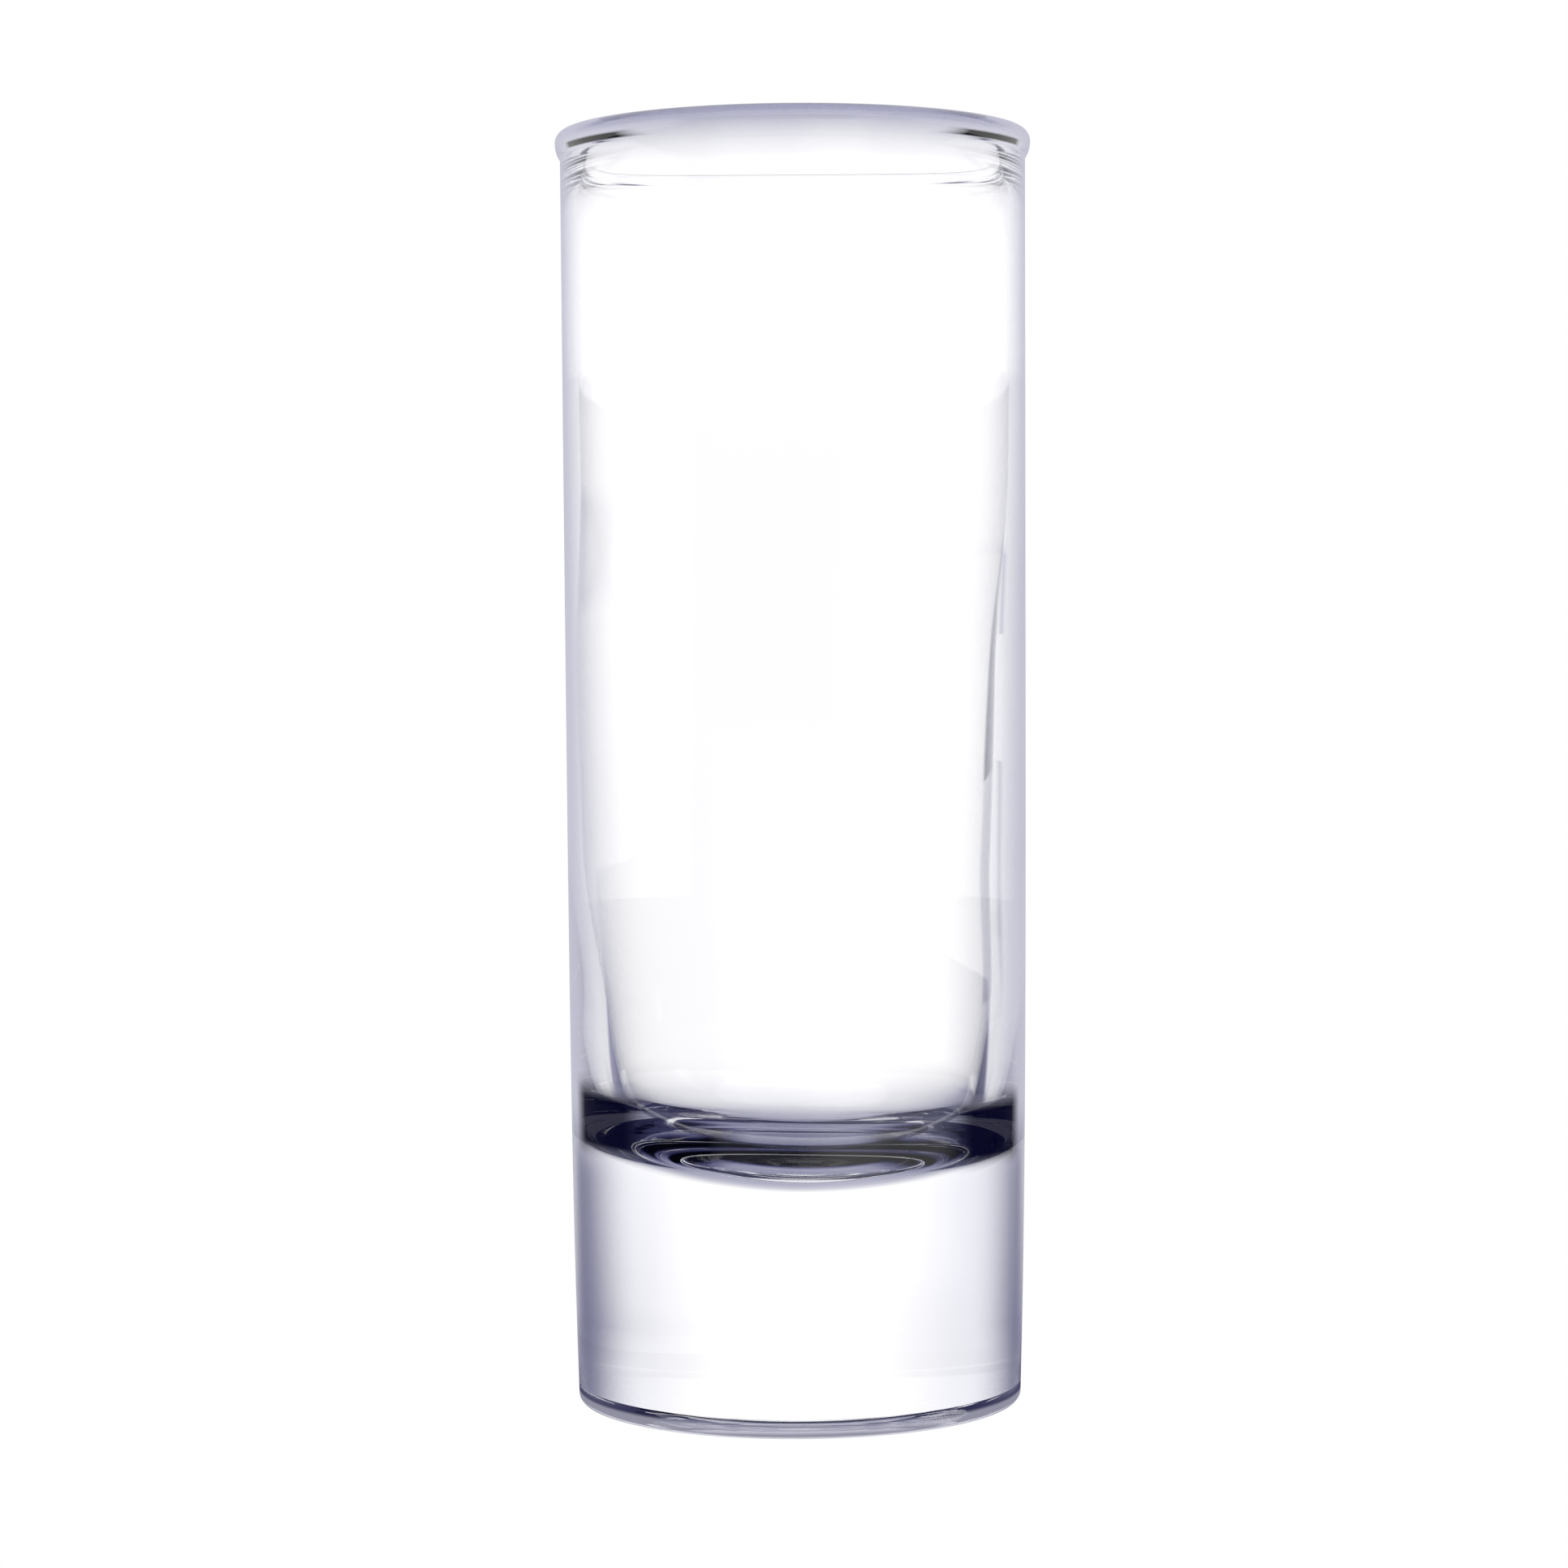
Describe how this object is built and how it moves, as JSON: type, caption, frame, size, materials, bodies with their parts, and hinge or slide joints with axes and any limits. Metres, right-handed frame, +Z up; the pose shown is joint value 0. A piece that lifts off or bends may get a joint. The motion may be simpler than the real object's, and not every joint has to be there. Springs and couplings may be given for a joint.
{
  "type": "shot glass",
  "caption": "Tall straight-sided shot glass with a rounded bead at the lip, a wall that thickens downwards and a deep solid base, for drinking short measures.",
  "frame": {"origin": "centre of the ring that the glass stands on, at table height", "axes": "+Z up along the glass's axis, out of its mouth; X and Y are level and alike"},
  "size_m": [0.0392, 0.0392, 0.105],
  "materials": {
    "clear_glass": "fire-polished, clear and glossy"
  },
  "bodies": {
    "root": {"shot_glass": "clear_glass"}
  },
  "joints": []
}
